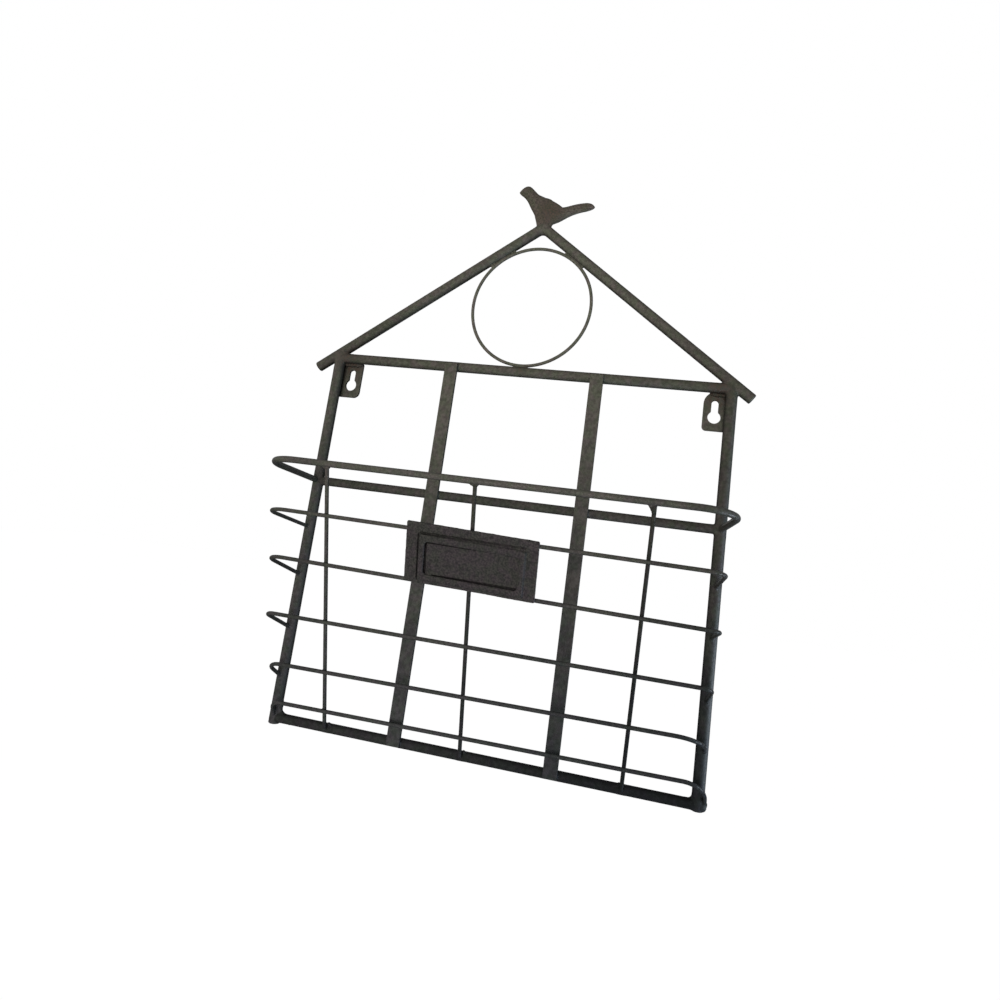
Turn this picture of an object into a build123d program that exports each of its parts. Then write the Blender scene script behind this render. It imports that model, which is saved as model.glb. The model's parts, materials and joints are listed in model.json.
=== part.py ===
from build123d import *
import os
from math import asin, atan2, cos, degrees, hypot, radians, sin, sqrt, tan

# Letter rack for a wall: a house-shaped frame of welded iron rods with a wire basket in front.
# Millimetres and degrees. +X runs along the wall to the right, +Y into the wall, +Z up.
# Heights are measured from the axis of the bottom rail, and y = 0 is the front of the frame's rods.
# Each piece is moved on export, so that the origin lies on the wall midway between the keyholes.

# Frame of round rods
frame_width = 310.0             # between the axes of the uprights
upright_diameter = 8.4
left_upright_tail = 4.5         # of the uprights below the bottom rail's axis
right_upright_tail = 3.6
bottom_rail_diameter = 6.9
mid_rail_diameter = 6.7
mid_rail_height = 179.4
top_rail_diameter = 7.8
top_rail_height = 281.0
rafter_diameter = 8.2
gable_rise = 120.2              # from the top rail's axis to the ridge, where the rafters' axes meet
eave_rise = 4.3                 # of the rafters' axes above the top rail's, at the uprights
left_eave_overhang = 18.0       # of the rafters past the uprights' axes, measured level
right_eave_overhang = 14.6
rod_end_chamfer = 0.5           # of the sawn ends that show
cope_lip = 2.0                  # how far a coped end climbs round the rod that it meets

# Flat straps in front of the rails
strap_width = 10.0
strap_thickness = 3.0
strap_spread = 0.369            # between the middles of the two straps, as a share of the frame's width
strap_overrun = 1.4             # past the axes of the top and the bottom rail
strap_edge_rounding = 0.4

# Wire ring in the gable, touching both rafters and the top rail
ring_wire_diameter = 2.5
ring_stretch = 1.16             # of its half length; the ring was bent a little oval
ring_turn = 60.0                # of its long way from level, up to the right
weld_gap = 0.03                 # between curved pieces that a weld joins

# Hanger plates with keyholes, behind the upper corners of the frame
plate_thickness = 2.0
plate_reach = 19.0              # inwards from the upright's axis
plate_lap = 2.0                 # outwards from the upright's axis
plate_height = 29.2
plate_top_drop = 2.0            # of its upper edge below the top rail's axis
right_plate_shoulder_radius = 9.0
right_plate_foot_radius = 3.0
left_plate_shoulder_radius = 2.0
left_plate_foot_radius = 5.0
keyhole_inset = 10.8            # from the upright's axis to the middle of the keyhole
keyhole_drop = 21.0             # from the top rail's axis down to the middle of the keyhole's head
keyhole_head_diameter = 9.2
keyhole_slot_width = 5.0
keyhole_slot_rise = 10.1        # from the middle of the head up to the centre of the slot's round end
keyhole_shoulder_radius = 1.2   # where the slot runs out into the head

# Basket of three-sided wire hoops, which rake up and spread out towards the front
rim_wire_diameter = 4.6
rim_depth = 74.0                # from the uprights' axes to the axis of the rim's front run
rim_rise = 8.0                  # of the rim's front run above its ends
rim_flare = 10.0                # of each front corner outside the uprights' axes
rim_bend_radius = 25.0
thin_wire_diameter = 2.8
foot_hoop_height = 1.0          # of the lowest hoop's ends
foot_hoop_gap = 25.4            # from the lowest hoop's ends up to those of the next hoop
hoop_rises = (10.5, 14.4, 14.0, 17.4, 14.0)       # one value for each thin hoop, the highest first
hoop_rolls = (0.5, 1.0, 0.1, -0.5, -0.5)          # welded on a little askew, the left side higher
left_flares = (7.6, 4.9, 4.3, 3.4, -1.6)
right_flares = (2.7, 2.3, 1.4, -0.3, 3.2)
left_bend_radii = (20.0, 15.0, 8.0, 12.0, 9.0)
right_bend_radii = (12.0, 7.0, 7.5, 20.0, 15.0)
left_end_lifts = (1.3, 2.5, 0.3, 2.2, -1.3)       # of the hoops' ends above their even spacing
right_end_lifts = (-1.3, 3.2, -0.3, 6.8, -1.0)
left_end_seats = (0.0, 0.0, 0.0, 0.0, 0.0)        # of the hoops' ends outside the uprights' axes
right_end_seats = (0.0, 0.0, 0.0, 1.5, 4.4)

# Straight wires behind the fronts of the hoops
wire_names = ("left_wire", "centre_wire", "right_wire")
wire_tops = (-0.358, -0.0158, 0.3574)             # places along the rim, as shares of the frame's width
wire_feet = (-0.3594, -0.0239, 0.34)              # places along the bottom rail, as shares of that width
wire_foot_height = 0.4          # at which the wires end on the front of the bottom rail
wire_seat = 0.6                 # how far the wires' feet are ground to sit on the bottom rail

# Label plate on the two highest thin hoops, and the raised frame on it
label_width = 90.5
label_height = 41.8
label_thickness = 1.5
label_corner_radius = 1.0
label_offset = -4.5             # of the plate's middle from the rack's
label_rise = 2.4                # of the plate's middle above that of its two hoops, along the slope
label_roll = 1.8                # the plate was welded on a little askew, its left end higher
label_frame_width = 72.6
label_frame_height = 31.7
label_frame_thickness = 1.8
label_frame_drop = 2.5          # of the frame's middle below the plate's
label_frame_offset = 0.8        # of the frame's middle to the right of the plate's
label_frame_bevel = 0.6
label_frame_corner_radius = 1.2
window_width = 65.0
window_height = 23.0
window_drop = 0.3               # of the window's middle below the frame's
window_corner_radius = 2.5

# Bird on the ridge: places across it and heights above the top of the ridge, from beak to tail
beak_tip = (-24.2, 25.1)
tail_tip = (39.3, 13.7)
bird_sections = (               # top of the section, bottom of the section, thickness
    ((-20.8, 28.9), (-21.0, 21.9), 5.0),
    ((-15.6, 30.1), (-17.4, 18.8), 9.0),
    ((-9.8, 25.2), (-14.3, 14.0), 9.4),
    ((-1.5, 20.6), (-10.5, 7.8), 10.6),
    ((6.0, 16.8), (-4.5, 0.0), 11.0),
    ((12.6, 12.8), (7.5, -1.2), 9.0),
    ((20.0, 14.6), (18.0, 4.5), 6.4),
    ((29.0, 16.9), (28.6, 9.0), 4.8),
    ((35.4, 16.9), (36.2, 11.4), 4.0),
)
bird_foot_width = 11.2          # where it stands on the rafters
bird_foot_thickness = 6.6
bird_foot_top_width = 19.04     # where it ends inside the body
bird_foot_top_thickness = 11.22
bird_foot_top = 7.0             # height above the top of the ridge at which it ends inside the body
bird_foot_depth = 5.0           # below the top of the ridge, before it is cut to the rafters
wing_length = 26.0
wing_height = 7.0
wing_thickness = 4.4
wing_middle = (4.0, 13.5)
wing_droop = 25.5               # slope of the wing down towards the tail
wing_spread = 2.8               # from the bird's middle plane to the wing's

# Worked out from the driving dimensions
half_width = frame_width / 2
upright_radius = upright_diameter / 2
bottom_rail_radius = bottom_rail_diameter / 2
top_rail_radius = top_rail_diameter / 2
rafter_radius = rafter_diameter / 2
thin_wire_radius = thin_wire_diameter / 2
ridge_height = top_rail_height + gable_rise
roof_pitch = atan2(gable_rise - eave_rise, half_width)
ridge_top = ridge_height + rafter_radius / cos(roof_pitch)
frame_back = max(upright_diameter, top_rail_diameter)
wall = frame_back + plate_thickness
keyhole_height = top_rail_height - keyhole_drop
rim_height = mid_rail_height + rim_rise

# Lean of the straight wires: from the front of the bottom rail to the middle of the rim
rail_depth = upright_radius - bottom_rail_radius
wire_offset = bottom_rail_radius + thin_wire_radius - wire_seat
wire_reach = hypot(rim_depth - rail_depth, rim_height)
wire_lean = atan2(rim_depth - rail_depth, rim_height) - asin(wire_offset / wire_reach)
up_the_basket = Vector(0, -sin(wire_lean), cos(wire_lean))
out_of_the_basket = Vector(0, -cos(wire_lean), -sin(wire_lean))


def rod(start, end, diameter):
    """Round rod between two points of its axis."""
    axis = Vector(*end) - Vector(*start)
    return extrude(Plane(origin=start, z_dir=axis) * Circle(diameter / 2), axis.length)


def at_side(part, direction):
    """The flat end of a rod that lies farthest along a direction."""
    return part.faces().filter_by(GeomType.PLANE).sort_by(direction)[-1]


def mirrored(part):
    """The left-hand piece that goes with a right-hand one."""
    return mirror(part, Plane.YZ)


def make_rafter(eave_overhang):
    """Right-hand rafter, mitred at the ridge and square at the eave."""
    fall_per_width = tan(roof_pitch)
    behind_ridge = -rafter_diameter
    eave = half_width + eave_overhang
    start = (behind_ridge, rafter_radius, ridge_height - behind_ridge * fall_per_width)
    end = (eave, rafter_radius, ridge_height - eave * fall_per_width)
    whole = rod(start, end, rafter_diameter)
    finished = chamfer(at_side(whole, Axis.X).edges(), rod_end_chamfer)
    return split(finished, Plane.YZ, keep=Keep.TOP)


def upright_rod(tail):
    """Right-hand upright before its top is cut to the rafter."""
    foot = (half_width, upright_radius, -tail)
    top = (half_width, upright_radius, ridge_height)
    whole = rod(foot, top, upright_diameter)
    return chamfer(at_side(whole, -Axis.Z).edges(), rod_end_chamfer)


def make_upright(tail, rafter):
    """Right-hand upright, its top coped to the underside of the rafter."""
    below_axis = rafter_radius - cope_lip
    over_upright = (half_width, 0, top_rail_height + eave_rise - below_axis / cos(roof_pitch))
    roof_plane = Plane(origin=over_upright, x_dir=(0, 1, 0), z_dir=(sin(roof_pitch), 0, cos(roof_pitch)))
    return split(upright_rod(tail) - rafter, roof_plane, keep=Keep.BOTTOM)


def make_rail(height, diameter, coped_to):
    """Level rod between the uprights, its front flush with theirs and its ends coped."""
    reach = half_width - upright_radius + cope_lip
    start = (-reach, diameter / 2, height)
    end = (reach, diameter / 2, height)
    return rod(start, end, diameter) - coped_to


def make_strap():
    """Right-hand flat strap, lying on the fronts of the three rails."""
    length = top_rail_height + 2 * strap_overrun
    middle = Pos(strap_spread * half_width, -strap_thickness / 2, top_rail_height / 2)
    bar = middle * Box(strap_width, strap_thickness, length)
    return fillet(bar.edges().filter_by(Axis.Z), strap_edge_rounding)


def oval(mean_radius, stretch):
    """Oval of four smoothly joined quarter arcs, longer than broad by four times the stretch."""
    centre = stretch * (2 + sqrt(2))
    end_radius = mean_radius + stretch - centre
    side_radius = mean_radius - stretch + centre
    arcs = [
        CenterArc((centre, 0), end_radius, -45, 90),
        CenterArc((0, -centre), side_radius, 45, 90),
        CenterArc((-centre, 0), end_radius, 135, 90),
        CenterArc((0, centre), side_radius, 225, 90),
    ]
    return Wire(arcs)


def oval_reach(angle):
    """How far the ring's oval reaches past its mean radius, at an angle in degrees from its long way."""
    slant = radians(abs((angle + 90) % 180 - 90))
    if slant <= radians(45):
        return ring_stretch * (1 - (2 + sqrt(2)) * (1 - cos(slant)))
    return ring_stretch * ((2 + sqrt(2)) * (1 - sin(slant)) - 1)


def make_ring():
    """Closed wire ring, the largest that fits between the rafters and the top rail."""
    square_to_roof = 90 - degrees(roof_pitch)
    right = oval_reach(square_to_roof - ring_turn)
    left = oval_reach(180 - square_to_roof - ring_turn)
    below = oval_reach(90 + ring_turn)
    room = (gable_rise - top_rail_radius - below) * cos(roof_pitch) - rafter_radius - (left + right) / 2
    reach = room / (1 + cos(roof_pitch))
    middle_height = top_rail_height + top_rail_radius + reach + below
    shift = (left - right) / (2 * sin(roof_pitch))
    plane = Plane(origin=(shift, rafter_radius, middle_height), x_dir=(1, 0, 0), z_dir=(0, -1, 0))
    path = plane * Rot(0, 0, ring_turn) * oval(reach - weld_gap - ring_wire_diameter / 2, ring_stretch)
    section = Plane(origin=path @ 0, z_dir=path % 0) * Circle(ring_wire_diameter / 2)
    return sweep(section, path=path)


def keyhole():
    """Keyhole of a hanger plate, with rounded shoulders between its slot and its head."""
    slot_radius = keyhole_slot_width / 2
    head_radius = keyhole_head_diameter / 2
    slot = Pos(0, keyhole_slot_rise / 2) * Rectangle(keyhole_slot_width, keyhole_slot_rise)
    hole = Circle(head_radius) + slot + Pos(0, keyhole_slot_rise) * Circle(slot_radius)
    shoulder_height = sqrt(head_radius**2 - slot_radius**2)
    places = [(-slot_radius, shoulder_height), (slot_radius, shoulder_height)]
    shoulders = [hole.vertices().sort_by_distance(place)[0] for place in places]
    hole = fillet(shoulders, keyhole_shoulder_radius)
    return Pos(-keyhole_inset, -keyhole_drop) * hole


def make_hanger_plate(shoulder_radius, foot_radius):
    """Right-hand plate with a keyhole, its front on the back of the upright."""
    plane = Plane(origin=(half_width, wall, top_rail_height), x_dir=(1, 0, 0), z_dir=(0, -1, 0))
    width = plate_reach + plate_lap
    middle = Pos((plate_lap - plate_reach) / 2, -plate_top_drop - plate_height / 2)
    outline = middle * Rectangle(width, plate_height)
    inner_foot = outline.vertices().group_by(Axis.Y)[0].sort_by(Axis.X)[0]
    outline = fillet(inner_foot, foot_radius)
    inner_shoulder = outline.vertices().group_by(Axis.Y)[-1].sort_by(Axis.X)[0]
    outline = fillet(inner_shoulder, shoulder_radius)
    return extrude(plane * (outline - keyhole()), plate_thickness)


def make_hoop(front, roll, ends, flares, bend_radii, diameter):
    """Three-sided hoop: arms that rake up from two ends on the uprights, and a front run, rolled a little."""
    run = Vector(1, 0, 0) * cos(radians(roll)) - up_the_basket * sin(radians(roll))
    left_flare, right_flare = flares
    left_corner = front - run * (half_width + left_flare)
    right_corner = front + run * (half_width + right_flare)
    left_end, right_end = ends
    path = FilletPolyline(left_end, left_corner, right_corner, right_end, radius=bend_radii)
    section = Plane(origin=path @ 0, z_dir=path % 0) * Circle(diameter / 2)
    return sweep(section, path=path)


def hoop_depth(front_height):
    """Depth at which a thin hoop's front run lies against the fronts of the straight wires."""
    wire_depth = rim_depth - (rim_height - front_height) * tan(wire_lean)
    return wire_depth + (thin_wire_diameter + weld_gap) / cos(wire_lean)


def make_wire(top_place, foot_place, coped_to):
    """Straight wire from under the rim to the front of the bottom rail."""
    foot_depth = rim_depth - (rim_height - wire_foot_height) * tan(wire_lean)
    top = (top_place, upright_radius - rim_depth, rim_height)
    foot = (foot_place, upright_radius - foot_depth, wire_foot_height)
    return rod(top, foot, thin_wire_diameter) - coped_to


def label_seat(upper_front, lower_front):
    """Plane that touches the fronts of two hoops, centred on the label plate's back."""
    middle = (upper_front + lower_front) / 2
    seat = middle + out_of_the_basket * (thin_wire_radius + weld_gap) + up_the_basket * label_rise
    seat.X = label_offset
    level = Plane(origin=seat, x_dir=(1, 0, 0), z_dir=out_of_the_basket)
    return Plane(level.location * Rot(0, 0, -label_roll))


def make_label_plate(seat):
    """Flat plate that carries the label frame."""
    return extrude(seat * RectangleRounded(label_width, label_height, label_corner_radius), label_thickness)


def make_label_frame(seat):
    """Raised frame with a window, standing on the label plate."""
    plane = Plane(seat.location * Pos(label_frame_offset, -label_frame_drop, label_thickness))
    outline = RectangleRounded(label_frame_width, label_frame_height, label_frame_corner_radius)
    window = Pos(0, -window_drop) * RectangleRounded(window_width, window_height, window_corner_radius)
    frame = extrude(plane * (outline - window), label_frame_thickness)
    face = frame.faces().sort_by(Axis(plane.origin, plane.z_dir))[-1]
    return chamfer(face.edges(), label_frame_bevel)


def bird_plane(place, height, across, along):
    """Plane square to the bird's length, at a place across the ridge and a height above its top."""
    return Plane(origin=(place, rafter_radius, ridge_top + height), x_dir=across, z_dir=along)


def bird_section(top, bottom, thickness):
    """Oval section of the bird between a point of its back and a point of its breast or belly."""
    rise = Vector(top[0] - bottom[0], 0, top[1] - bottom[1])
    along = Vector(0, 1, 0).cross(rise)
    middle = ((top[0] + bottom[0]) / 2, (top[1] + bottom[1]) / 2)
    return bird_plane(*middle, rise, along) * Ellipse(rise.length / 2, thickness / 2)


def make_bird(rafters):
    """Cast bird: body lofted from beak to tail, folded wings, and a foot cut to the ridge."""
    beak = Vertex(beak_tip[0], rafter_radius, ridge_top + beak_tip[1])
    tail = Vertex(tail_tip[0], rafter_radius, ridge_top + tail_tip[1])
    body = loft([beak, *[bird_section(*one) for one in bird_sections], tail])
    sole = Ellipse(bird_foot_width / 2, bird_foot_thickness / 2)
    crown = Ellipse(bird_foot_top_width / 2, bird_foot_top_thickness / 2)
    foot_below = bird_plane(0, -bird_foot_depth, (1, 0, 0), (0, 0, 1)) * sole
    foot_above = bird_plane(0, bird_foot_top, (1, 0, 0), (0, 0, 1)) * crown
    foot = loft([foot_below, foot_above])
    wing = scale(Sphere(1), (wing_length / 2, wing_thickness / 2, wing_height / 2))
    wings = [
        Pos(wing_middle[0], rafter_radius + side * wing_spread, ridge_top + wing_middle[1])
        * Rot(0, wing_droop, 0)
        * wing
        for side in (-1, 1)
    ]
    return body + foot + wings - rafters


def save(name, part):
    """Writes one piece, moved so that the origin lies on the wall midway between the keyholes."""
    placed = Pos(0, -wall, -keyhole_height) * part
    placed.label = name
    export_step(placed, f"parts/{name}.step")


def save_pair(name, right, left):
    """Writes a right-hand piece and, mirrored, the left-hand piece that goes with it."""
    save(f"right_{name}", right)
    save(f"left_{name}", mirrored(left))


def save_frame():
    """Makes the welded frame of the rack, and returns its uprights and its mid and bottom rails."""
    right_rafter = make_rafter(right_eave_overhang)
    left_rafter = make_rafter(left_eave_overhang)
    rafters = [right_rafter, mirrored(left_rafter)]
    uprights = [upright_rod(right_upright_tail), mirrored(upright_rod(left_upright_tail))]
    mid_rail = make_rail(mid_rail_height, mid_rail_diameter, uprights)
    bottom_rail = make_rail(0, bottom_rail_diameter, uprights)
    right_plate = make_hanger_plate(right_plate_shoulder_radius, right_plate_foot_radius)
    left_plate = make_hanger_plate(left_plate_shoulder_radius, left_plate_foot_radius)
    save_pair("rafter", right_rafter, left_rafter)
    save_pair(
        "upright", make_upright(right_upright_tail, right_rafter), make_upright(left_upright_tail, left_rafter)
    )
    save("top_rail", make_rail(top_rail_height, top_rail_diameter, uprights + rafters))
    save("mid_rail", mid_rail)
    save("bottom_rail", bottom_rail)
    save_pair("strap", make_strap(), make_strap())
    save_pair("hanger_plate", right_plate, left_plate)
    save("gable_ring", make_ring())
    save("bird", make_bird(rafters))
    return uprights, mid_rail, bottom_rail


def save_hoops(coped_to):
    """Makes the rim and the thin hoops, and returns the rim and the middles of the thin hoops' fronts."""
    rim_front = Vector(0, upright_radius - rim_depth, rim_height)
    rim_ends = [Vector(side * half_width, upright_radius, mid_rail_height) for side in (-1, 1)]
    rim_bends = (rim_bend_radius, rim_bend_radius)
    rim = make_hoop(rim_front, 0, rim_ends, (rim_flare, rim_flare), rim_bends, rim_wire_diameter)
    rim -= coped_to
    save("rim_hoop", rim)
    above_foot = len(hoop_rises) - 1
    pitch = (mid_rail_height - foot_hoop_height - foot_hoop_gap) / above_foot
    names = [f"basket_hoop_{number}" for number in range(1, above_foot + 1)] + ["foot_hoop"]
    even_heights = [mid_rail_height - pitch * number for number in range(1, above_foot + 1)]
    even_heights.append(foot_hoop_height)
    fronts = []
    for index, name in enumerate(names):
        height = even_heights[index]
        front_height = height + hoop_rises[index]
        front = Vector(0, upright_radius - hoop_depth(front_height), front_height)
        left_end = Vector(-half_width - left_end_seats[index], upright_radius, height + left_end_lifts[index])
        right_end = Vector(half_width + right_end_seats[index], upright_radius, height + right_end_lifts[index])
        flares = (left_flares[index], right_flares[index])
        bends = (left_bend_radii[index], right_bend_radii[index])
        hoop = make_hoop(front, hoop_rolls[index], (left_end, right_end), flares, bends, thin_wire_diameter)
        save(name, hoop - coped_to)
        fronts.append(front)
    return rim, fronts


def save_wires(coped_to):
    """Makes the three straight wires behind the fronts of the hoops."""
    for name, top, foot in zip(wire_names, wire_tops, wire_feet):
        save(name, make_wire(top * frame_width, foot * frame_width, coped_to))


def save_label(upper_front, lower_front):
    """Makes the label plate on two of the hoops, and the frame on it."""
    seat = label_seat(upper_front, lower_front)
    save("label_plate", make_label_plate(seat))
    save("label_frame", make_label_frame(seat))


os.makedirs("parts", exist_ok=True)
uprights, mid_rail, bottom_rail = save_frame()
rim, fronts = save_hoops(uprights + [mid_rail, bottom_rail])
save_wires([rim, bottom_rail])
save_label(fronts[0], fronts[1])
print(f"wire lean {degrees(wire_lean):.2f} degrees, roof pitch {degrees(roof_pitch):.2f} degrees")
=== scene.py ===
import json
import math

import bpy
from bpy.props import FloatProperty, FloatVectorProperty, IntProperty, PointerProperty
from mathutils import Matrix, Vector
from mathutils.bvhtree import BVHTree

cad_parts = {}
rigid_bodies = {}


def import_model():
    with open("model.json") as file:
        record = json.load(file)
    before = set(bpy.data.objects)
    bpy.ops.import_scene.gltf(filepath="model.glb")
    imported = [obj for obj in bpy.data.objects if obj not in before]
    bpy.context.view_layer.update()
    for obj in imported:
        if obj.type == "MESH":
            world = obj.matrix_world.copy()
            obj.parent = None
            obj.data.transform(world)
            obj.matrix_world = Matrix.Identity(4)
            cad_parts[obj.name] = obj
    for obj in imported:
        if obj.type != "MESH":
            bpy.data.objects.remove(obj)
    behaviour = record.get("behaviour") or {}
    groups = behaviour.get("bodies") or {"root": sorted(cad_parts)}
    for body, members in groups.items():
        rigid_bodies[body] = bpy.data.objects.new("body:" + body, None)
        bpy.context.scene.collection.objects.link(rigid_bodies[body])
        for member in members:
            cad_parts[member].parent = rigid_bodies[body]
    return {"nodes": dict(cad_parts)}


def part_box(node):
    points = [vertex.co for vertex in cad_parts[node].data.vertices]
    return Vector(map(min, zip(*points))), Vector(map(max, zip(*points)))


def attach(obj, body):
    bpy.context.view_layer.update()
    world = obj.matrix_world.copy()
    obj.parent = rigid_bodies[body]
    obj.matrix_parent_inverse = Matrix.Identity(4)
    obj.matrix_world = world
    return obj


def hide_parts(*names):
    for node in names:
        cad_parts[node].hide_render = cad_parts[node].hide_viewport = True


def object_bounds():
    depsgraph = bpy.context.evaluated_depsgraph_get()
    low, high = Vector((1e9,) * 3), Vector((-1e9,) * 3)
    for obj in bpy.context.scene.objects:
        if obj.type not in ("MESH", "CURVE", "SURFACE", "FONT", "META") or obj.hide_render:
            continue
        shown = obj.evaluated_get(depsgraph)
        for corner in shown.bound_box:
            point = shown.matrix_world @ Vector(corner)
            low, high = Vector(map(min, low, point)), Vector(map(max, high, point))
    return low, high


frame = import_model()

bl_info = {
    "name": "Wall letter rack",
    "version": (1, 0, 0),
    "blender": (4, 5, 0),
    "location": "3D View > Sidebar > Letter Rack",
    "description": "Finishes, casts and welds a house-shaped wall letter rack of iron rod and wire",
    "category": "Object",
}

BODY = "root"
CAD_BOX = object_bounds()

# The rack's pieces, by what they are made of
RODS = ("left_upright", "right_upright", "top_rail", "mid_rail", "bottom_rail", "left_rafter", "right_rafter")
FLATS = ("left_strap", "right_strap", "left_hanger_plate", "right_hanger_plate")
THIN_HOOPS = ("basket_hoop_1", "basket_hoop_2", "basket_hoop_3", "basket_hoop_4", "foot_hoop")
STRAIGHT_WIRES = ("left_wire", "centre_wire", "right_wire")
HOOPS = ("rim_hoop",) + THIN_HOOPS
SIDES = {"left": -1, "right": 1}  # each side with the sign of its x

# How light a piece is, as a share of the straps' tone: partly its own tone, partly painted light and shade,
# darkest on the bottom rail
SHARES = {
    "left_upright": 1.10, "right_upright": 0.88,
    "top_rail": 0.97, "mid_rail": 0.86, "bottom_rail": 0.62,
    "right_rafter": 1.06, "left_hanger_plate": 1.10, "right_hanger_plate": 1.22,
    "rim_hoop": 1.15, "basket_hoop_2": 0.92, "basket_hoop_3": 0.94, "basket_hoop_4": 0.95,
    "gable_ring": 1.25, "left_wire": 1.10, "centre_wire": 0.66, "right_wire": 0.62,
}
# The bottom rail's right end, with its painted shade, is darker still
RIGHT_SHARES = {"bottom_rail": 0.50}  # where the right end differs from the left

# How far a weld reaches from its middle into the pieces that it joins, in metres
CORNER_REACH = 0.014
RAIL_REACH = 0.011
STRAP_REACH = 0.010
RIDGE_REACH = 0.0125
RING_REACH = 0.0030
HANGER_REACH = 0.0040
END_REACH = 0.0062
TOP_REACH = 0.0060
CROSSING_REACH = 0.0042

# How far the rust spreads from its middle, in metres
HANGER_RUST = 0.018
RING_RUST = 0.010
BREAST_RUST = 0.016

# Metal in the inner corners over the bottom rail: the corner's sign, rounding and drop size, in metres
ROUNDED_CORNERS = ((-1, 0.0062, 0.0018), (1, 0.0030, 0.0013))
# Metal on the right foot: metres out of the upright's axis, up from its end, and drop size
RIGHT_FOOT_DROPS = ((0.0030, 0.0028, 0.0029), (0.0034, 0.0056, 0.0025))

# How close the ring comes to each rod where its weld fills the gap, in metres
RING_GAPS = {"left_rafter": 0.0014, "right_rafter": 0.0009, "top_rail": 0.0003}

# Beads from an upright along its hanger plate, as shares of the bead's size
BEADS = {"left": (1.15, 0.95, 1.1, 1.0, 1.1, 0.9), "right": (1.15, 0.95, 1.05, 0.9, 0.65)}
BEAD_SPACING = 0.0024

# Drops under the rim at a straight wire: metres sideways and down, and size as a share of the wire's radius
ON_BOTH_SIDES = ((-0.0026, 0.0, 0.70), (-0.0014, 0.0, 0.95), (0.0012, 0.0, 0.90))
ON_THE_LEFT = (
    (-0.0031, 0.0, 0.80), (-0.0021, 0.0008, 1.0),
    (-0.0014, 0.0024, 0.90), (-0.0008, 0.0042, 0.75),
)
TOP_DROPS = {"left_wire": ON_BOTH_SIDES, "centre_wire": ON_BOTH_SIDES, "right_wire": ON_THE_LEFT}
FOOT_SIDES = {"left_wire": 1, "centre_wire": 1, "right_wire": -1}  # where a wire's foot has most metal

# The floor: its width in metres, its grey, and the strength and share of a glow that only the camera sees
FLOOR_WIDTH = 12.0
FLOOR_GREY = 0.25
FLOOR_GLOW = 1.17
FLOOR_GLOW_SHARE = 0.85

# The photograph's viewpoint: metres, degrees, millimetres, and shifts as shares of the picture's width
CAMERA_PLACE = (0.12282, -0.52227, -0.10910)
CAMERA_HEADING = 13.147
CAMERA_PITCH = 9.897
CAMERA_ROLL = 7.755
CAMERA_SENSOR = 36.0
CAMERA_LENS = 25.39
CAMERA_SHIFT = (-0.0205, -0.0795)

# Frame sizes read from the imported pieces, in metres
UPRIGHT_X = (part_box("right_upright")[0].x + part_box("right_upright")[1].x) / 2
UPRIGHT_RADIUS = (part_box("right_upright")[1].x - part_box("right_upright")[0].x) / 2
ROD_DEPTH = (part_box("right_upright")[0].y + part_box("right_upright")[1].y) / 2
RAFTER_RADIUS = (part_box("right_rafter")[1].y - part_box("right_rafter")[0].y) / 2


def colour(name, text, value):
    """A colour property with a picker."""
    return FloatVectorProperty(
        name=name, description=text, subtype="COLOR", size=3, min=0, max=1, default=value)


def length(name, text, value):
    """A length property in scene units."""
    return FloatProperty(
        name=name, description=text, unit="LENGTH", subtype="DISTANCE", default=value, precision=5)


def power(name, text, value):
    """A lamp's power property."""
    return FloatProperty(name=name, description=text, unit="POWER", default=value)


def count(name, text, value):
    """A whole number property."""
    return IntProperty(name=name, description=text, default=value)


def amount(name, text, value):
    """A plain number property."""
    return FloatProperty(name=name, description=text, default=value)


class RackFinish(bpy.types.PropertyGroup):
    """Colours, painted light and shade, and grain of the iron."""

    # Partly the iron's own tone and partly painted light: the lighter, warmer roof and the cool, dark right
    # foot follow how the light fell
    top: colour("Top", "Bronze grey of the iron at the roof", (0.082, 0.079, 0.066))
    left_foot: colour("Left foot", "Grey of the iron at the left foot", (0.047, 0.048, 0.049))
    right_foot: colour("Right foot", "Dark cool grey of the iron at the right foot", (0.022, 0.024, 0.027))
    bird_tone: colour("Bird", "Olive brown of the bird", (0.077, 0.070, 0.057))
    label_tone: colour("Label", "Charcoal of the label plate", (0.038, 0.036, 0.037))
    rust: colour("Rust", "Brown bloom near the welds and on the castings", (0.064, 0.045, 0.035))
    grain: length("Grain", "Size of the mottled grain of the finish", 0.0024)
    casting_grain: length("Casting grain", "Size of the pitted grain of the castings", 0.0012)
    # Painted shade: the flanks are darkened in the colour, as shares of the fronts' tone
    rod_flank: amount("Rod flanks", "Tone of the rods' flanks, as a share of their fronts'", 0.36)
    wire_flank: amount("Wire flanks", "Tone of the wires' flanks, as a share of their fronts'", 0.55)
    rod_gloss: amount("Rod gloss", "Specular level of the rods' satin finish", 0.20)
    hoop_gloss: amount("Hoop gloss", "Specular level of the hoops' smoother finish", 0.45)
    wire_gloss: amount("Wire gloss", "Specular level of the ring and the straight wires", 0.05)


class RackWelds(bpy.types.PropertyGroup):
    """Sizes of the welds."""

    rod_voxel: length("Rod weld grain", "Voxel size of the welds between rods", 0.00042)
    wire_voxel: length("Wire weld grain", "Voxel size of the welds between wires", 0.00026)
    rod_smoothing: count("Rod smoothing", "How far a rod weld flows into the corner", 40)
    wire_smoothing: count("Wire smoothing", "How far a wire weld flows", 22)
    bead_smoothing: count("Bead smoothing", "How far the beads at the hanger plates flow", 16)
    rod_swell: length("Rod weld swell", "How far a rod weld is swollen after it has flowed", 0.00012)
    wire_swell: length("Wire weld swell", "How far a wire weld is swollen after it has flowed", -0.00004)
    nugget: length("Nugget", "Radius of the weld nugget where two wires cross", 0.0015)
    bead: length("Bead", "Radius of the weld beads at the hanger plates", 0.0019)
    ripple: length("Ripple", "Size of the ripples on the welds", 0.0035)
    ripple_depth: length("Ripple depth", "Depth of the ripples on the welds", 0.00013)


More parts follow.
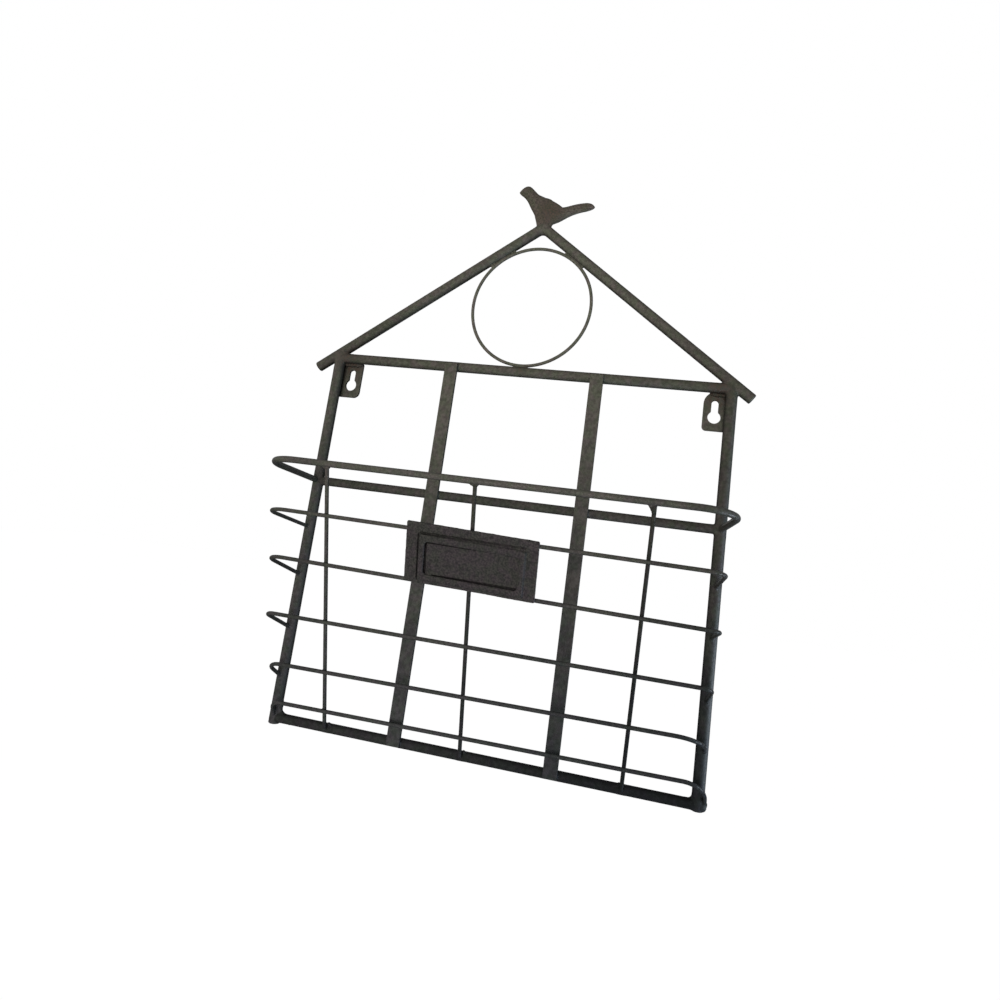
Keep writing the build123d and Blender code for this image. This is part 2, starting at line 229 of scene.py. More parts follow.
class RackCastings(bpy.types.PropertyGroup):
    """Sizes of the cast bird and label."""

    bird_voxel: length("Bird grain", "Voxel size of the cast bird", 0.00042)
    label_voxel: length("Label grain", "Voxel size of the cast label", 0.00035)
    pitting: length("Pitting", "Depth of the uneven cast skin", 0.00022)
    groove: length("Groove", "Width of the grooves round the label's frame and window", 0.0012)
    groove_depth: length("Groove depth", "Depth of those grooves below the plate's face", 0.0010)


class RackStage(bpy.types.PropertyGroup):
    """Floor and soft light."""

    floor_drop: length("Floor drop", "Height of the rack above the floor", 0.35)
    front_power: power("Front light", "Broad light in front", 22.8)
    window_power: power("Window light", "Cool light at the lower right", 2.5)
    glint_power: power("Window glint", "Shine of the window", 1.6)
    side_power: power("Side light", "Weak light on the left", 2.6)
    sky: amount("Sky", "Strength of the even light all round", 0.20)


GROUPS = {
    "rack_finish": RackFinish,
    "rack_welds": RackWelds,
    "rack_castings": RackCastings,
    "rack_stage": RackStage,
}


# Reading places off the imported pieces

def corners(node):
    """All points of a CAD node's mesh."""
    return [vertex.co.copy() for vertex in frame["nodes"][node].data.vertices]


def average(points):
    """The middle of some points."""
    return sum(points, Vector()) / len(points)


def middle(node):
    """The middle of a CAD node's box."""
    low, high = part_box(node)
    return (low + high) / 2


def surface(node):
    """A CAD node's surface, ready for finding its nearest point."""
    mesh = frame["nodes"][node].data
    return BVHTree.FromPolygons([v.co for v in mesh.vertices], [p.vertices for p in mesh.polygons])


def wire_ends(wire):
    """The foot and the top of a straight wire's axis."""
    points = corners(wire)
    height = middle(wire).z
    foot = average([p for p in points if p.z < height])
    top = average([p for p in points if p.z >= height])
    return foot, top


def wire_radius(wire):
    """The radius of a straight wire."""
    foot, top = wire_ends(wire)
    along = (top - foot).normalized()
    reaches = [(p - foot - along * (p - foot).dot(along)).length for p in corners(wire)]
    return sum(reaches) / len(reaches)


def rim_radius():
    """The radius of the rim's wire, where its front run begins."""
    points = corners("rim_hoop")
    inmost = min(abs(p.x) for p in points)
    heights = [p.z for p in points if abs(p.x) < inmost + 1e-5]
    return (max(heights) - min(heights)) / 2


def hoop_ends(hoop):
    """The ends of a hoop on the left and the right upright."""
    points = corners(hoop)
    ends = []
    for sign in SIDES.values():
        arm = [p for p in points if p.x * sign > UPRIGHT_X / 2]
        back = max(p.y for p in arm)
        ends.append(average([p for p in arm if p.y > back - THIN_RADIUS]))
    return ends


def crossing(wire, hoop):
    """Where a straight wire touches a hoop's front run."""
    foot, top = wire_ends(wire)
    tree = surface(hoop)
    steps = 400
    points = [foot.lerp(top, step / steps) for step in range(steps + 1)]
    inside = min(points, key=lambda point: tree.find_nearest(point)[3])
    on_hoop = tree.find_nearest(inside)[0]
    return (on_hoop + inside) / 2 + (on_hoop - inside).normalized() * THIN_RADIUS / 2


def gap_drops(wire, rod, reach, spacing, extra):
    """Drops of metal that fill the narrowing gap where a curved wire nears a rod."""
    tree = surface(rod)
    gaps = []
    for point in corners(wire):
        near, _, _, gap = tree.find_nearest(point)
        if gap < reach:
            gaps.append((gap, (point + near) / 2))
    chosen = []
    for gap, place in sorted(gaps, key=lambda pair: pair[0]):
        if all((place - other).length > spacing for _, other in chosen):
            chosen.append((gap, place))
    if not chosen:
        raise RuntimeError(f"{wire} does not come near {rod}")
    return [(place, gap / 2 + extra) for gap, place in chosen]


THIN_RADIUS = wire_radius("left_wire")
RIM_RADIUS = rim_radius()


# Modelling helpers

def deselect():
    """Leaves edit mode and selects nothing."""
    if bpy.context.object and bpy.context.object.mode != "OBJECT":
        bpy.ops.object.mode_set(mode="OBJECT")
    bpy.ops.object.select_all(action="DESELECT")


def pick(*objects):
    """Selects some objects, and makes the first one active."""
    deselect()
    for obj in objects:
        obj.select_set(True)
    bpy.context.view_layer.objects.active = objects[0]


def copy_of(node):
    """A merged copy of a CAD node, free to be reshaped."""
    pick(frame["nodes"][node])
    bpy.ops.object.duplicate()
    copy = bpy.context.object
    bpy.ops.object.parent_clear(type="CLEAR_KEEP_TRANSFORM")
    for key in list(copy.keys()):
        del copy[key]
    copy.data.materials.clear()
    bpy.ops.object.mode_set(mode="EDIT")
    bpy.ops.mesh.select_all(action="SELECT")
    bpy.ops.mesh.customdata_custom_splitnormals_clear()
    bpy.ops.mesh.remove_doubles(threshold=1e-6)
    bpy.ops.object.mode_set(mode="OBJECT")
    return copy


def ball(place, radius, stretch=(1, 1, 1)):
    """A ball or drop of metal, to be melted into a piece."""
    bpy.ops.mesh.primitive_ico_sphere_add(subdivisions=3, radius=radius, location=place)
    bpy.ops.object.mode_set(mode="EDIT")
    bpy.ops.transform.resize(value=stretch, center_override=place)
    bpy.ops.object.mode_set(mode="OBJECT")
    bpy.ops.object.transform_apply(location=True, rotation=True, scale=True)
    return bpy.context.object


def joined(objects):
    """Several objects made into one."""
    pick(*objects)
    if len(objects) > 1:
        bpy.ops.object.join()
    return bpy.context.object


def modified(obj, kind, **settings):
    """Adds a modifier with its settings and applies it."""
    pick(obj)
    modifier = obj.modifiers.new(kind.title(), kind)
    for name, value in settings.items():
        setattr(modifier, name, value)
    bpy.ops.object.modifier_apply(modifier=modifier.name)
    return obj


def uneven(name, size):
    """A cloudy unevenness for displacing a skin."""
    texture = bpy.data.textures.new(name, "CLOUDS")
    texture.noise_scale = size
    texture.noise_depth = 3
    return texture


def melted(obj, voxel, smoothing, swell, texture, unevenness):
    """Melts overlapping shapes into one skin that flows through their corners."""
    modified(obj, "REMESH", mode="VOXEL", voxel_size=voxel, adaptivity=0.0)
    modified(obj, "SMOOTH", factor=0.5, iterations=smoothing)
    modified(obj, "DISPLACE", strength=swell, mid_level=0.0)
    modified(obj, "DISPLACE", texture=texture, texture_coords="LOCAL", strength=unevenness, mid_level=0.5)
    pick(obj)
    bpy.ops.object.shade_smooth()
    return obj


def cut_to(node, balls):
    """The part of a CAD node that lies inside some balls, or nothing."""
    piece = copy_of(node)
    modified(piece, "BOOLEAN", operation="INTERSECT", object=balls, solver="EXACT")
    if piece.data.vertices:
        return piece
    bpy.data.objects.remove(piece)
    return None


def weld(name, spots, nodes, drops, voxel, smoothing, swell):
    """Welds some pieces at some spots, each a place and a reach, with drops of added metal."""
    balls = joined([ball(place, reach) for place, reach in spots])
    modified(balls, "REMESH", mode="VOXEL", voxel_size=2 * voxel, adaptivity=0.0)
    pieces = [piece for piece in (cut_to(node, balls) for node in nodes) if piece]
    bpy.data.objects.remove(balls)
    if not pieces:
        raise RuntimeError(f"{name}: none of its pieces reach the welds")
    pieces += [ball(*drop) for drop in drops]
    obj = joined(pieces)
    obj.name = name
    sizes = bpy.context.scene.rack_welds
    return melted(obj, voxel, smoothing, swell, uneven(f"{name}_skin", sizes.ripple), sizes.ripple_depth)


def wire_weld(name, spots, nodes, drops):
    """Welds some pieces, of which one is a wire."""
    sizes = bpy.context.scene.rack_welds
    return weld(name, spots, nodes, drops, sizes.wire_voxel, sizes.wire_smoothing, sizes.wire_swell)


def trimmed(obj):
    """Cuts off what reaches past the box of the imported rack."""
    pick(obj)
    bpy.ops.object.mode_set(mode="EDIT")
    for axis in range(3):
        for place, sign in ((CAD_BOX[0], -1), (CAD_BOX[1], 1)):
            outwards = Vector([sign if index == axis else 0 for index in range(3)])
            edge = place - outwards * 1e-5
            bpy.ops.mesh.select_all(action="SELECT")
            bpy.ops.mesh.bisect(
                plane_co=edge, plane_no=outwards, use_fill=True, clear_outer=True, threshold=1e-6)
    bpy.ops.object.mode_set(mode="OBJECT")


def finished(obj):
    """Trims a new piece and gives it its body."""
    trimmed(obj)
    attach(obj, BODY)


def coat(obj, material):
    """Gives an object its one material."""
    obj.data.materials.clear()
    obj.data.materials.append(material)


def coat_like(obj, nodes):
    """Gives each face of a weld the material of the piece that it lies on."""
    obj.data.materials.clear()
    for node in nodes:
        obj.data.materials.append(frame["nodes"][node].data.materials[0])
    trees = [surface(node) for node in nodes]
    far = 0.02
    for face in obj.data.polygons:
        gaps = [tree.find_nearest(face.center, far)[3] for tree in trees]
        gaps = [far if gap is None else gap for gap in gaps]
        face.material_index = gaps.index(min(gaps))


# Materials

def link(tree, start, end):
    """Joins two sockets, each given as a node and a socket's name or number."""
    tree.links.new(start[0].outputs[start[1]], end[0].inputs[end[1]])


def add(tree, kind, **settings):
    """Adds a node with its settings."""
    node = tree.nodes.new(kind)
    for name, value in settings.items():
        setattr(node, name, value)
    return node


def noise(tree, vector, scale, detail):
    """Noise of a scale, read at a vector socket."""
    node = add(tree, "ShaderNodeTexNoise", noise_dimensions="3D")
    link(tree, vector, (node, "Vector"))
    node.inputs["Scale"].default_value = scale
    node.inputs["Detail"].default_value = detail
    return node


def ramped(tree, source, low, high, to_low, to_high):
    """A value carried from one range to another."""
    node = add(tree, "ShaderNodeMapRange", interpolation_type="SMOOTHSTEP", clamp=True)
    link(tree, source, (node, "Value"))
    for name, value in zip(("From Min", "From Max", "To Min", "To Max"), (low, high, to_low, to_high)):
        node.inputs[name].default_value = value
    return node


def combined(tree, operation, first, second):
    """Two values worked into one."""
    node = add(tree, "ShaderNodeMath", operation=operation)
    for index, value in enumerate((first, second)):
        if isinstance(value, tuple):
            link(tree, value, (node, index))
        else:
            node.inputs[index].default_value = value
    return node


def blend(tree, factor, first, second, mode="MIX"):
    """A colour between two others, on the numbered colour sockets of a mix node."""
    node = add(tree, "ShaderNodeMix", data_type="RGBA", blend_type=mode)
    if isinstance(factor, tuple):
        link(tree, factor, (node, 0))
    else:
        node.inputs[0].default_value = factor
    link(tree, first, (node, 6))
    link(tree, second, (node, 7))
    return node


def new_group(name, inputs, outputs):
    """A shader node group with named sockets."""
    tree = bpy.data.node_groups.new(name, "ShaderNodeTree")
    for socket, kind in inputs:
        tree.interface.new_socket(name=socket, in_out="INPUT", socket_type=f"NodeSocket{kind}")
    for socket, kind in outputs:
        tree.interface.new_socket(name=socket, in_out="OUTPUT", socket_type=f"NodeSocket{kind}")
    return tree, tree.nodes.new("NodeGroupInput"), tree.nodes.new("NodeGroupOutput")


def tone_and_light_fall(tree, given, place, patch):
    """The tone's fall from the roof to the foot, and from the left foot to the right: partly the finish's own
    tone, partly painted light, warm and lighter at the roof, cool and dark at the right foot.
    """
    side = ramped(tree, (place, "X"), -0.15, 0.13, 0.0, 1.0)
    foot = blend(tree, (side, "Result"), (given, "Left Foot"), (given, "Right Foot"))
    wander = ramped(tree, (patch, "Fac"), 0.3, 0.7, -0.03, 0.03)
    level = combined(tree, "ADD", (place, "Z"), (wander, "Result"))
    rise = ramped(tree, (level, "Value"), -0.27, 0.05, 0.0, 1.0)
    return blend(tree, (rise, "Result"), (foot, 2), (given, "Top"))


def patchy(tree, given, plain):
    """Patches of olive and of brown on a plain tone."""
    hue = noise(tree, (given, "Vector"), 170.0, 3.0)
    lean = ramped(tree, (hue, "Fac"), 0.36, 0.64, 0.0, 1.0)
    olive = add(tree, "ShaderNodeRGB")
    olive.outputs[0].default_value = (0.94, 1.0, 0.87, 1.0)
    brown = add(tree, "ShaderNodeRGB")
    brown.outputs[0].default_value = (1.09, 0.98, 1.02, 1.0)
    tint = blend(tree, (lean, "Result"), (olive, "Color"), (brown, "Color"))
    return blend(tree, 1.0, (plain, 2), (tint, 2), "MULTIPLY")


def painted_shade(tree, given, place):
    """Painted shade: darkest in crevices, on flanks turned away from the front and at both sides of the rack.
    """
    # Painted shade in crevices, from the ambient occlusion
    crevice = add(tree, "ShaderNodeAmbientOcclusion", samples=8, only_local=False)
    crevice.inputs["Distance"].default_value = 0.0045
    shade = ramped(tree, (crevice, "AO"), 0.25, 0.85, 0.25, 1.0)
    facing = add(tree, "ShaderNodeNewGeometry")
    turned = add(tree, "ShaderNodeSeparateXYZ")
    link(tree, (facing, "Normal"), (turned, "Vector"))
    # Painted shade on flanks turned away from the front, down to the Flank share
    front = ramped(tree, (turned, "Y"), -0.15, -0.95, 0.0, 1.0)
    link(tree, (given, "Flank"), (front, "To Min"))
    apart = combined(tree, "ABSOLUTE", (place, "X"), 0.0)
    # Painted shade towards both sides of the rack
    edge = ramped(tree, (apart, "Value"), 0.05, 0.17, 1.0, 0.75)
    flank_and_side_shade = combined(tree, "MULTIPLY", (front, "Result"), (edge, "Result"))
    return combined(tree, "MULTIPLY", (shade, "Result"), (flank_and_side_shade, "Value"))


def iron_skin_group():
    """Satin iron: lighter at the roof and darker at the feet, partly its own tone and partly painted light;
    patchy, mottled, with painted shade in crevices, on flanks and at both sides of the rack, rusty where
    masked.
    """
    if "iron_skin" in bpy.data.node_groups:
        return bpy.data.node_groups["iron_skin"]
    inputs = [("Vector", "Vector"), ("Top", "Color"), ("Left Foot", "Color"), ("Right Foot", "Color"),
              ("Rust", "Color"), ("Grain Scale", "Float"), ("Mottle", "Float"), ("Rust Mask", "Float"),
              ("Flank", "Float"), ("Roughness", "Float")]
    outputs = [("Color", "Color"), ("Roughness", "Float"), ("Height", "Float")]
    tree, given, result = new_group("iron_skin", inputs, outputs)
    vector = (given, "Vector")
    fine = noise(tree, vector, 400.0, 4.0)
    link(tree, (given, "Grain Scale"), (fine, "Scale"))
    speck = noise(tree, vector, 1500.0, 2.0)
    patch = noise(tree, vector, 60.0, 3.0)
    place = add(tree, "ShaderNodeSeparateXYZ")
    link(tree, vector, (place, "Vector"))
    body = patchy(tree, given, tone_and_light_fall(tree, given, place, patch))
    # Mottled grain: lighter and darker spots of the same iron
    spot = ramped(tree, (fine, "Fac"), 0.32, 0.68, -1.0, 1.0)
    swing = combined(tree, "MULTIPLY", (spot, "Result"), (given, "Mottle"))
    gain = combined(tree, "ADD", (swing, "Value"), 1.0)
    # The grain's spots times the painted shade of crevices, flanks and sides
    tone = combined(tree, "MULTIPLY", (gain, "Value"), (painted_shade(tree, given, place), "Value"))
    grey = add(tree, "ShaderNodeCombineColor")
    for channel in ("Red", "Green", "Blue"):
        link(tree, (tone, "Value"), (grey, channel))
    # Rust keeps to the mask, broken up by the grain
    bloom = ramped(tree, (fine, "Fac"), 0.40, 0.62, 0.0, 1.0)
    mask = combined(tree, "MULTIPLY", (bloom, "Result"), (given, "Rust Mask"))
    rusted = blend(tree, (mask, "Value"), (body, 2), (given, "Rust"))
    mottled = blend(tree, 1.0, (rusted, 2), (grey, "Color"), "MULTIPLY")
    link(tree, (mottled, 2), (result, "Color"))
    # The grain also varies the roughness and, with fine specks, the relief
    sheen = ramped(tree, (fine, "Fac"), 0.3, 0.7, -0.07, 0.07)
    shine = combined(tree, "ADD", (sheen, "Result"), (given, "Roughness"))
    link(tree, (shine, "Value"), (result, "Roughness"))
    relief = combined(tree, "MULTIPLY", (speck, "Fac"), 0.45)
    total = combined(tree, "ADD", (fine, "Fac"), (relief, "Value"))
    link(tree, (total, "Value"), (result, "Height"))
    return tree


def heat_group():
    """A soft round mask about a place, for the bloom round a weld."""
    if "weld_heat" in bpy.data.node_groups:
        return bpy.data.node_groups["weld_heat"]
    inputs = [("Vector", "Vector"), ("Place", "Vector"), ("Reach", "Float")]
    tree, given, result = new_group("weld_heat", inputs, [("Mask", "Float")])
    gap = add(tree, "ShaderNodeVectorMath", operation="DISTANCE")
    link(tree, (given, "Vector"), (gap, 0))
    link(tree, (given, "Place"), (gap, 1))
    share = combined(tree, "DIVIDE", (gap, "Value"), (given, "Reach"))
    mask = ramped(tree, (share, "Value"), 0.25, 1.0, 1.0, 0.0)
    link(tree, (mask, "Result"), (result, "Mask"))
    return tree


def tones(node):
    """The three tones of the finish with their painted light, each at the piece's share of its strength."""
    finish = bpy.context.scene.rack_finish
    share = SHARES.get(node, 1.0)
    right_share = RIGHT_SHARES.get(node, share)
    parts = ((finish.top, share), (finish.left_foot, share), (finish.right_foot, right_share))
    return [[channel * part for channel in tone] for tone, part in parts]


def iron(name, three_tones, grain, mottle, relief, gloss, roughness, flank, welds=(), bloom=0.0):
    """A satin iron material with a mottled grain and rust round its welds."""
    if name in bpy.data.materials:
        return bpy.data.materials[name]
    finish = bpy.context.scene.rack_finish
    material = bpy.data.materials.new(name)
    material.use_nodes = True
    tree = material.node_tree
    shader = tree.nodes["Principled BSDF"]
    place = add(tree, "ShaderNodeTexCoord")
    skin = add(tree, "ShaderNodeGroup", node_tree=iron_skin_group())
    link(tree, (place, "Object"), (skin, "Vector"))
    for socket, value in zip(("Top", "Left Foot", "Right Foot", "Rust"), (*three_tones, finish.rust)):
        skin.inputs[socket].default_value = (*value, 1.0)
    skin.inputs["Grain Scale"].default_value = 1 / grain
    skin.inputs["Mottle"].default_value = mottle
    skin.inputs["Flank"].default_value = flank
    skin.inputs["Roughness"].default_value = roughness
    skin.inputs["Rust Mask"].default_value = bloom
    last = None
    for spot, reach in welds:
        heat = add(tree, "ShaderNodeGroup", node_tree=heat_group())
        link(tree, (place, "Object"), (heat, "Vector"))
        heat.inputs["Place"].default_value = spot
        heat.inputs["Reach"].default_value = reach
        last = (combined(tree, "MAXIMUM", last, (heat, "Mask")), "Value") if last else (heat, "Mask")
    if last:
        link(tree, last, (skin, "Rust Mask"))
    bump = add(tree, "ShaderNodeBump")
    bump.inputs["Strength"].default_value = 0.5
    bump.inputs["Distance"].default_value = relief
    link(tree, (skin, "Height"), (bump, "Height"))
    link(tree, (bump, "Normal"), (shader, "Normal"))
    link(tree, (skin, "Color"), (shader, "Base Color"))
    link(tree, (skin, "Roughness"), (shader, "Roughness"))
    shader.inputs["Specular IOR Level"].default_value = gloss
    return material


def corner_of(side):
    """Where an upright, the top rail and a rafter meet."""
    return Vector((SIDES[side] * UPRIGHT_X, ROD_DEPTH, middle("top_rail").z))


def plate_weld(side):
    """The middle of the weld between a hanger plate and the top rail."""
    plate = f"{side}_hanger_plate"
    return Vector((middle(plate).x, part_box(plate)[0].y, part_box("top_rail")[0].z))


def rod_iron(node):
    """Finish of a rod, strap or plate, with rust at the hangers and under the ring."""
    finish = bpy.context.scene.rack_finish
    welds = [(plate_weld(side), HANGER_RUST) for side in SIDES]
    welds.append((Vector((middle("gable_ring").x, ROD_DEPTH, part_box("gable_ring")[0].z)), RING_RUST))
    return iron(
        f"{node}_iron", tones(node), grain=finish.grain, mottle=0.22, relief=0.00035,
        gloss=finish.rod_gloss, roughness=0.60, flank=finish.rod_flank, welds=welds)


def wire_iron(node):
    """Finish of a hoop, the ring or a straight wire."""
    finish = bpy.context.scene.rack_finish
    gloss = finish.hoop_gloss if node in HOOPS else finish.wire_gloss
    return iron(
        f"{node}_iron", tones(node), grain=finish.grain * 0.7, mottle=0.20, relief=0.0001,
        gloss=gloss, roughness=0.18, flank=finish.wire_flank)


def casting_iron(name, tone, bloom, welds=()):
    """Finish of the bird and the label, pitted and faintly rusty."""
    finish = bpy.context.scene.rack_finish
    return iron(
        name, (tone, tone, tone), grain=finish.casting_grain, mottle=0.36, relief=0.0006,
        gloss=finish.rod_gloss, roughness=0.68, flank=1.0, welds=welds, bloom=bloom)


def bird_iron():
    """Finish of the bird, rustiest on its breast."""
    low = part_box("bird")[0]
    breast = Vector((0.0043, low.y, low.z + 0.0105))
    return casting_iron("bird_iron", bpy.context.scene.rack_finish.bird_tone, 0.0, [(breast, BREAST_RUST)])


# Operators, one for each group of pieces

class RACK_OT_rods(bpy.types.Operator):
    """Coats the rods, the straps and the hanger plates"""

    bl_idname = "rack.rods"
    bl_label = "Coat Rods"

    def execute(self, context):
        for node in RODS + FLATS:
            coat(frame["nodes"][node], rod_iron(node))
        return {"FINISHED"}


class RACK_OT_wires(bpy.types.Operator):
    """Coats the hoops, the gable ring and the straight wires"""

    bl_idname = "rack.wires"
    bl_label = "Coat Wires"

    def execute(self, context):
        for node in ("gable_ring",) + HOOPS + STRAIGHT_WIRES:
            coat(frame["nodes"][node], wire_iron(node))
        return {"FINISHED"}


def back_drops():
    """Drops of metal that fill the hollow of the bird's back, from its nape to its shoulders."""
    depth, top = middle("bird").y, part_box("bird")[1].z
    nape = Vector((-0.0093, depth, top - 0.0080))
    shoulders = Vector((-0.0006, depth, top - 0.0115))
    steps = 6
    return [ball(nape.lerp(shoulders, step / steps), radius=0.0016) for step in range(steps + 1)]


class RACK_OT_bird(bpy.types.Operator):
    """Casts the bird with its pitted skin"""

    bl_idname = "rack.bird"
    bl_label = "Cast Bird"

    def execute(self, context):
        castings = context.scene.rack_castings
        bird = joined([copy_of("bird"), *back_drops()])
        bird.name = "cast_bird"
        melted(
            bird, castings.bird_voxel, smoothing=4, swell=0.00003,
            texture=uneven("bird_skin", size=0.004), unevenness=castings.pitting)
        coat(bird, bird_iron())
        finished(bird)
        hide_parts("bird")
        return {"FINISHED"}


def label_axes():
    """The middle of the label frame's back, and the ways along its width, up its height and out of it."""
    points = corners("label_frame")
    inside = average(points)
    tree = surface("label_plate")
    near, normal, _, _ = tree.find_nearest(inside)
    out = normal if normal.y < 0 else -normal
    end = 0.006
    low = [p for p in points if p.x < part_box("label_frame")[0].x + end]
    high = [p for p in points if p.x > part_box("label_frame")[1].x - end]
    across = average(high) - average(low)
    across = (across - out * across.dot(out)).normalized()
    return near, across, out.cross(across), out


def extent(spans):
    """The left, right, foot and head of some points in a plane."""
    across = [u for u, _ in spans]
    up = [v for _, v in spans]
    return min(across), max(across), min(up), max(up)


def groove_bar(spot, turn, width, height):
    """A bar with rounded edges, to be sunk into the label's plate."""
    castings = bpy.context.scene.rack_castings
    bpy.ops.mesh.primitive_cube_add(size=1.0)
    bar = bpy.context.object
    bpy.ops.object.mode_set(mode="EDIT")
    bpy.ops.transform.resize(value=(width, height, 2 * castings.groove_depth))
    bpy.ops.mesh.bevel(offset=castings.groove * 0.3, segments=2)
    bpy.ops.object.mode_set(mode="OBJECT")
    bar.matrix_world = Matrix.Translation(spot) @ turn.to_4x4()
    bpy.ops.object.transform_apply(location=True, rotation=True, scale=True)
    return bar


def label_grooves():
    """Bars along the outer top and left of the label's frame, and inside its window but for the right."""
    groove = bpy.context.scene.rack_castings.groove
    wide, hidden = 1.6 * groove, 1.4 * groove
    inset = 0.003
    origin, across, up, out = label_axes()
    turn = Matrix((across, up, out)).transposed()
    spans = [((p - origin).dot(across), (p - origin).dot(up)) for p in corners("label_frame")]
    left, right, foot, head = extent(spans)
    inner = [span for span in spans if left + inset < span[0] < right - inset]
    inner = [span for span in inner if foot + inset < span[1] < head - inset]
    window_left, window_right, window_foot, window_head = extent(inner)
    window_across, window_up = (window_left + window_right) / 2, (window_foot + window_head) / 2
    window_width, window_height = window_right - window_left - inset, window_head - window_foot - inset
    places = [
        ((left + right) / 2, head + groove / 2, right - left, groove),
        (left - groove / 2, (foot + head) / 2, groove, head - foot),
        (window_left + wide / 2, window_up, wide, window_height),
        (window_across, window_foot + wide / 2, window_width, wide),
        (window_across, window_head - hidden / 2, window_width, hidden),
    ]
    return joined([groove_bar(origin + across * u + up * v, turn, *size) for u, v, *size in places])


class RACK_OT_label(bpy.types.Operator):
    """Casts the label plate with its raised frame and the grooves round it"""

    bl_idname = "rack.label"
    bl_label = "Cast Label"

    def execute(self, context):
        castings = context.scene.rack_castings
        bars = label_grooves()
        plate = copy_of("label_plate")
        modified(plate, "BOOLEAN", operation="DIFFERENCE", object=bars, solver="EXACT", use_self=True)
        bpy.data.objects.remove(bars)
        label = joined([plate, copy_of("label_frame")])
        label.name = "cast_label"
        melted(
            label, castings.label_voxel, smoothing=3, swell=0.00006,
            texture=uneven("label_skin", size=0.003), unevenness=castings.pitting)
        coat(label, casting_iron("label_iron", context.scene.rack_finish.label_tone, 0.10))
        finished(label)
        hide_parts("label_plate", "label_frame")
        return {"FINISHED"}


class RACK_OT_frame_welds(bpy.types.Operator):
    """Welds the corners of the frame, the ridge and the straps"""

    bl_idname = "rack.frame_welds"
    bl_label = "Weld Frame"

    def execute(self, context):
        sizes = context.scene.rack_welds
        spots = []
        for side in SIDES:
            corner = corner_of(side)
            strap_x = middle(f"{side}_strap").x
            spots.append((corner, CORNER_REACH))
            for rail in ("mid_rail", "bottom_rail"):
                spots.append((Vector((corner.x, ROD_DEPTH, middle(rail).z)), RAIL_REACH))
            for rail in ("top_rail", "mid_rail", "bottom_rail"):
                spots.append((Vector((strap_x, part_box(rail)[0].y, middle(rail).z)), STRAP_REACH))
        ridge = Vector((0, ROD_DEPTH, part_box("right_rafter")[1].z - 2 * RAFTER_RADIUS))
        spots.append((ridge, RIDGE_REACH))
        nodes = RODS + ("left_strap", "right_strap", "bird")
        coat(frame["nodes"]["bird"], bird_iron())
        drops = corner_drops()
        obj = weld("frame_welds", spots, nodes, drops, sizes.rod_voxel, sizes.rod_smoothing, sizes.rod_swell)
        coat_like(obj, nodes)
        finished(obj)
        return {"FINISHED"}


def rounding_drops(corner, across, radius, size):
    """Drops of metal that round an inner corner over the bottom rail, with the way across its opening."""
    reach = radius + size
    drops = []
    for step in range(5):
        turn = math.radians(15 + 15 * step)
        place = across * (radius - reach * math.cos(turn)) + Vector((0, 0, radius - reach * math.sin(turn)))
        drops.append((corner + place, size))
    return drops


def corner_drops():
    """Drops of metal under the ridge, in the bottom rail's inner corners, and at both feet."""
    rail = middle("bottom_rail")
    face = UPRIGHT_X - UPRIGHT_RADIUS
    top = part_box("bottom_rail")[1].z
    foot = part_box("bottom_rail")[0].z
    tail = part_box("right_upright")[0].z
    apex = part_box("right_rafter")[1].z - 2.5 * RAFTER_RADIUS
    drops = [(Vector((0, ROD_DEPTH, apex + 0.0011)), 0.0024)]
    for sign, radius, size in ROUNDED_CORNERS:
        drops += rounding_drops(Vector((sign * face, rail.y, top)), Vector((-sign, 0, 0)), radius, size)
    # A run up the left upright, and a drop that hangs under the left end of the rail
    drops.append((Vector((-face - 0.0012, rail.y, top + 0.0060)), 0.0024, (1.0, 1.0, 2.6)))
    drops.append((Vector((-UPRIGHT_X + 0.013, rail.y, foot + 0.0010)), 0.0014, (1.8, 1.0, 1.0)))
    for out, rise, size in RIGHT_FOOT_DROPS:
        drops.append((Vector((UPRIGHT_X + out, ROD_DEPTH - 0.0010, tail + rise)), size))
    return drops


class RACK_OT_ring_welds(bpy.types.Operator):
    """Welds the ring to the rafters and the top rail"""

    bl_idname = "rack.ring_welds"
    bl_label = "Weld Ring"

    def execute(self, context):
        drops = []
        for rod, gap in RING_GAPS.items():
            drops += gap_drops("gable_ring", rod, gap, spacing=0.0016, extra=0.0007)
        spots = [(place, RING_REACH) for place, _ in drops]
        nodes = ("gable_ring", "left_rafter", "right_rafter", "top_rail")
        obj = wire_weld("ring_welds", spots, nodes, drops)
        coat_like(obj, nodes)
        finished(obj)
        return {"FINISHED"}


class RACK_OT_hanger_welds(bpy.types.Operator):
    """Lays weld beads between the hanger plates and the top rail"""

    bl_idname = "rack.hanger_welds"
    bl_label = "Weld Hangers"

    def execute(self, context):
        sizes = context.scene.rack_welds
        drops = []
        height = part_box("top_rail")[0].z + 0.0004
        start = UPRIGHT_X - UPRIGHT_RADIUS - 0.0005
        for side, sign in SIDES.items():
            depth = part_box(f"{side}_hanger_plate")[0].y - 0.0006
            for step, size in enumerate(BEADS[side]):
                place = Vector((sign * (start - BEAD_SPACING * step), depth, height))
                drops.append((place, sizes.bead * size, (1.0, 0.9, 1.25)))
        spots = [(place, HANGER_REACH) for place, _, _ in drops]
        nodes = ("left_hanger_plate", "right_hanger_plate", "top_rail", "left_upright", "right_upright")
        smoothing = sizes.bead_smoothing
        obj = weld("hanger_welds", spots, nodes, drops, sizes.wire_voxel, smoothing, sizes.wire_swell)
        coat_like(obj, nodes)
        finished(obj)
        return {"FINISHED"}


